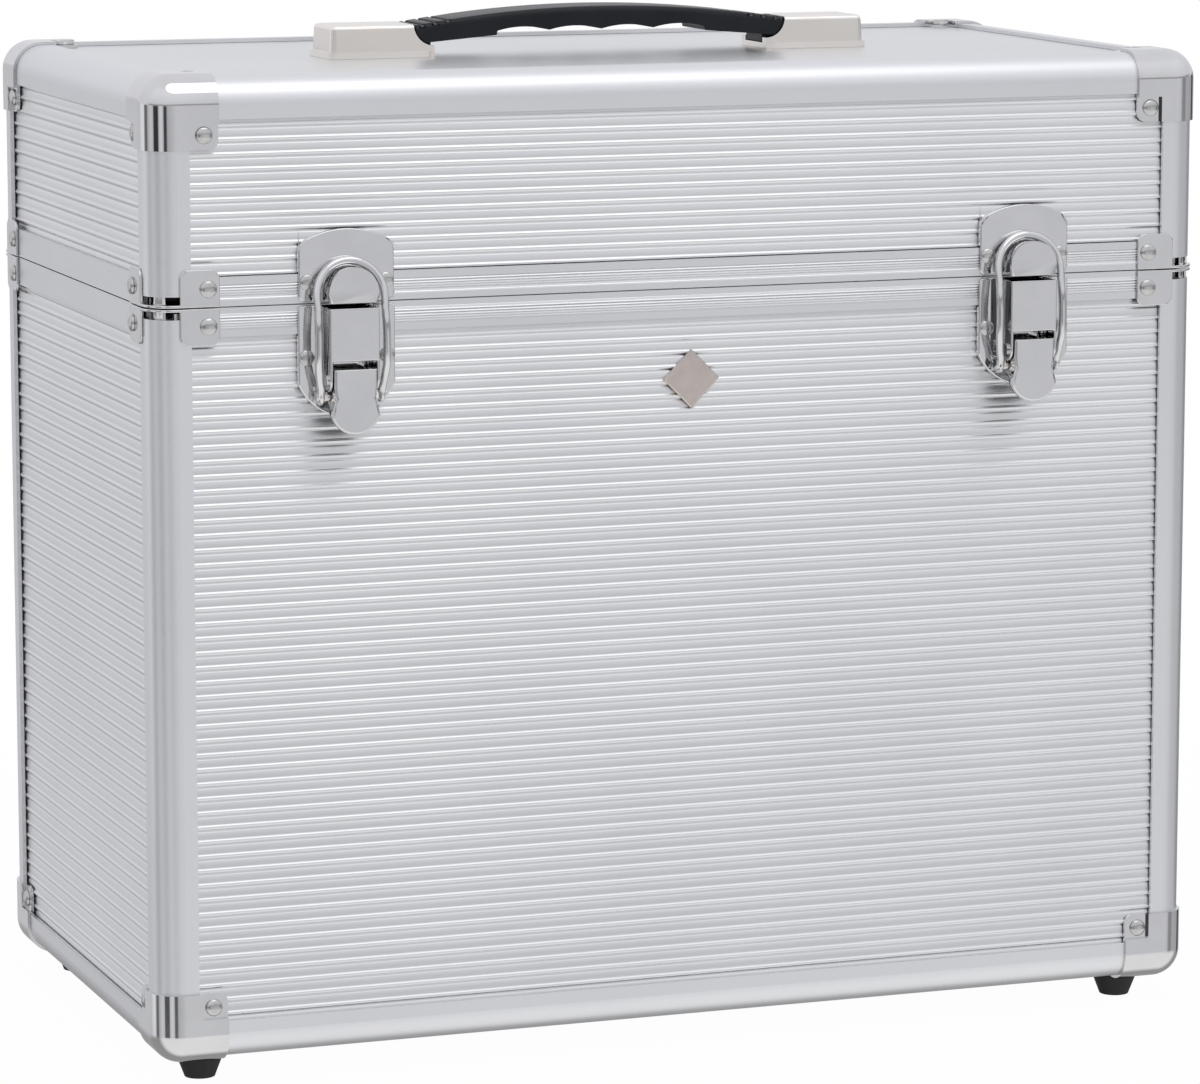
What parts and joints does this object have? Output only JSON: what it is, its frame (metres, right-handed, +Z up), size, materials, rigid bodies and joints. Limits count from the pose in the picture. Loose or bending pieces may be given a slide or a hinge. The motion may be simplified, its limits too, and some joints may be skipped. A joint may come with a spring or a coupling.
{
  "type": "grooming box",
  "caption": "Rectangular aluminium grooming box with ribbed panels, steel ball corners, rear-hinged lid, toggle latches, carrying handle and lift-out tray.",
  "frame": {"origin": "on the floor under the feet, at the centre of the bounding box in plan", "axes": "+Z up, +X along the front towards the right as the front is faced, front with the latches towards -Y, hinges towards +Y"},
  "size_m": [0.4052, 0.2304, 0.3735],
  "materials": {
    "ribbed_aluminium": "satin, ribbed",
    "frame_aluminium": "satin anodised",
    "rim_aluminium": "satin anodised, finely grooved",
    "chrome_steel": "bright plated",
    "rivet_steel": "plated",
    "satin_nickel": "satin, warm",
    "black_plastic": "fine grained",
    "black_rubber": "matte",
    "foam_lining": "soft matte foam sheet",
    "tray_plastic": "matte"
  },
  "bodies": {
    "case_body": {"body_front_panel": "ribbed_aluminium", "body_back_panel": "ribbed_aluminium", "body_left_panel": "ribbed_aluminium", "body_right_panel": "ribbed_aluminium", "body_bottom_panel": "ribbed_aluminium", "body_lining": "foam_lining", "body_post_front_left": "frame_aluminium", "body_post_front_right": "frame_aluminium", "body_post_back_left": "frame_aluminium", "body_post_back_right": "frame_aluminium", "bottom_corner_front_left": "chrome_steel", "bottom_corner_front_right": "chrome_steel", "bottom_corner_back_left": "chrome_steel", "bottom_corner_back_right": "chrome_steel", "bottom_edges": "frame_aluminium", "body_rims": "rim_aluminium", "body_rim_brackets": "chrome_steel", "feet": "black_rubber", "foot_screws": "rivet_steel", "body_rivets": "rivet_steel", "badge": "satin_nickel", "tray_ledges": "frame_aluminium", "latch_left_base": "chrome_steel", "latch_right_base": "chrome_steel", "latch_pivot_pins": "chrome_steel", "hinge_left_body_leaf": "chrome_steel", "hinge_right_body_leaf": "chrome_steel", "hinge_pins": "chrome_steel"},
    "lid": {"lid_front_panel": "ribbed_aluminium", "lid_back_panel": "ribbed_aluminium", "lid_left_panel": "ribbed_aluminium", "lid_right_panel": "ribbed_aluminium", "lid_top_panel": "ribbed_aluminium", "lid_lining": "foam_lining", "lid_posts": "frame_aluminium", "top_corner_front_left": "chrome_steel", "top_corner_front_right": "chrome_steel", "top_corner_back_left": "chrome_steel", "top_corner_back_right": "chrome_steel", "top_edges": "frame_aluminium", "lid_rims": "rim_aluminium", "lid_rim_brackets": "chrome_steel", "lid_rivets": "rivet_steel", "latch_left_keeper": "chrome_steel", "latch_right_keeper": "chrome_steel", "hinge_left_lid_leaf": "chrome_steel", "hinge_right_lid_leaf": "chrome_steel", "handle_housing_left": "satin_nickel", "handle_housing_right": "satin_nickel"},
    "handle_grip": {"handle_grip": "black_plastic"},
    "tray": {"tray": "tray_plastic"},
    "latch_left_lever": {"latch_left_lever": "chrome_steel"},
    "latch_left_bail_pin": {"latch_left_bail_pin": "chrome_steel"},
    "latch_left_bail": {"latch_left_bail": "chrome_steel"},
    "latch_right_lever": {"latch_right_lever": "chrome_steel"},
    "latch_right_bail_pin": {"latch_right_bail_pin": "chrome_steel"},
    "latch_right_bail": {"latch_right_bail": "chrome_steel"}
  },
  "joints": [
    {"name": "lid_hinge", "type": "hinge", "parent": "case_body", "child": "lid", "pos_m": [0, 0.112, 0.278], "axis": [-1, 0, 0], "range_deg": [0, 100]},
    {"name": "latch_left_lever_turn", "type": "hinge", "parent": "case_body", "child": "latch_left_lever", "pos_m": [-0.1295, -0.1101, 0.2517], "axis": [-1, 0, 0], "range_deg": [0, 100]},
    {"name": "latch_left_pin_turn", "type": "hinge", "parent": "latch_left_lever", "child": "latch_left_bail_pin", "pos_m": [-0.1295, -0.1081, 0.2457], "axis": [-1, 0, 0], "range_deg": [-100, 0]},
    {"name": "latch_left_bail_swing", "type": "hinge", "parent": "latch_left_bail_pin", "child": "latch_left_bail", "pos_m": [-0.1295, -0.1081, 0.2457], "axis": [1, 0, 0], "range_deg": [0, 170]},
    {"name": "latch_right_lever_turn", "type": "hinge", "parent": "case_body", "child": "latch_right_lever", "pos_m": [0.1295, -0.1101, 0.2517], "axis": [-1, 0, 0], "range_deg": [0, 100]},
    {"name": "latch_right_pin_turn", "type": "hinge", "parent": "latch_right_lever", "child": "latch_right_bail_pin", "pos_m": [0.1295, -0.1081, 0.2457], "axis": [-1, 0, 0], "range_deg": [-100, 0]},
    {"name": "latch_right_bail_swing", "type": "hinge", "parent": "latch_right_bail_pin", "child": "latch_right_bail", "pos_m": [0.1295, -0.1081, 0.2457], "axis": [1, 0, 0], "range_deg": [0, 170]},
    {"name": "handle_lift", "type": "slide", "parent": "lid", "child": "handle_grip", "axis": [0, 0, 1], "range_m": [0, 0.003]},
    {"name": "tray_lift", "type": "slide", "parent": "case_body", "child": "tray", "axis": [0, 0, 1], "range_m": [0, 0.06]}
  ],
  "couplings": [
    {"joint": "latch_left_pin_turn", "follows": "latch_left_lever_turn", "ratio": -1},
    {"joint": "latch_right_pin_turn", "follows": "latch_right_lever_turn", "ratio": -1}
  ]
}
